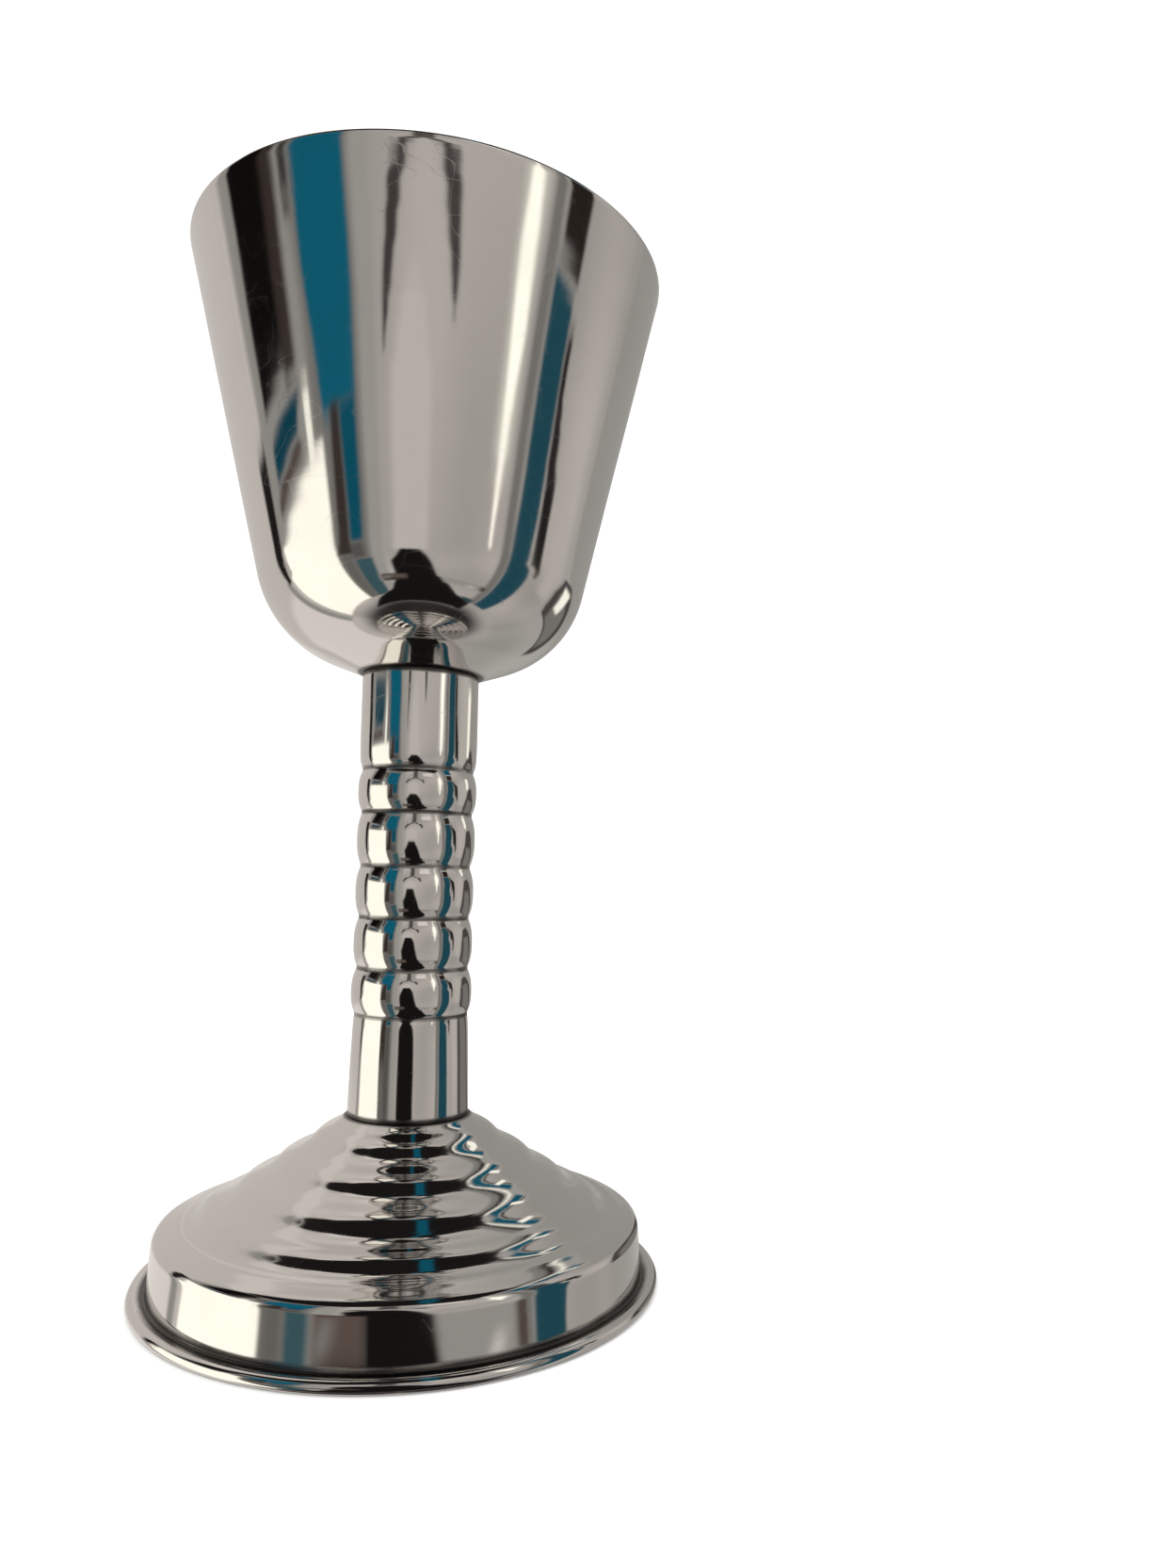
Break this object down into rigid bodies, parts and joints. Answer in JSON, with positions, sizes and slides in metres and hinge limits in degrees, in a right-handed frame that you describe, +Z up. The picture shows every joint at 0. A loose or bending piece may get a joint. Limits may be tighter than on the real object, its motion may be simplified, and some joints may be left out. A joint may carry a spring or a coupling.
{
  "type": "communion chalice",
  "caption": "Stainless steel chalice: tapered spun cup on a beaded tube stem and a rippled conical foot with a rolled edge, clamped by one tie rod.",
  "frame": {"origin": "middle of the foot, in the plane it stands on", "axes": "+Z up along the stem towards the cup; the piece is round about +Z, so X and Y are free"},
  "size_m": [0.0956, 0.0956, 0.19],
  "materials": {
    "polished_steel": "mirror-polished stainless steel",
    "turned_steel": "lathe-turned stainless steel",
    "plated_steel": "bright zinc-plated steel"
  },
  "bodies": {
    "root": {"cup": "polished_steel", "stem_tube": "polished_steel", "base_shell": "polished_steel", "cup_spigot": "turned_steel", "stem_bush": "turned_steel", "clamp_plate": "turned_steel", "tie_rod": "plated_steel", "spring_washer": "plated_steel", "hex_nut": "plated_steel"}
  },
  "joints": []
}
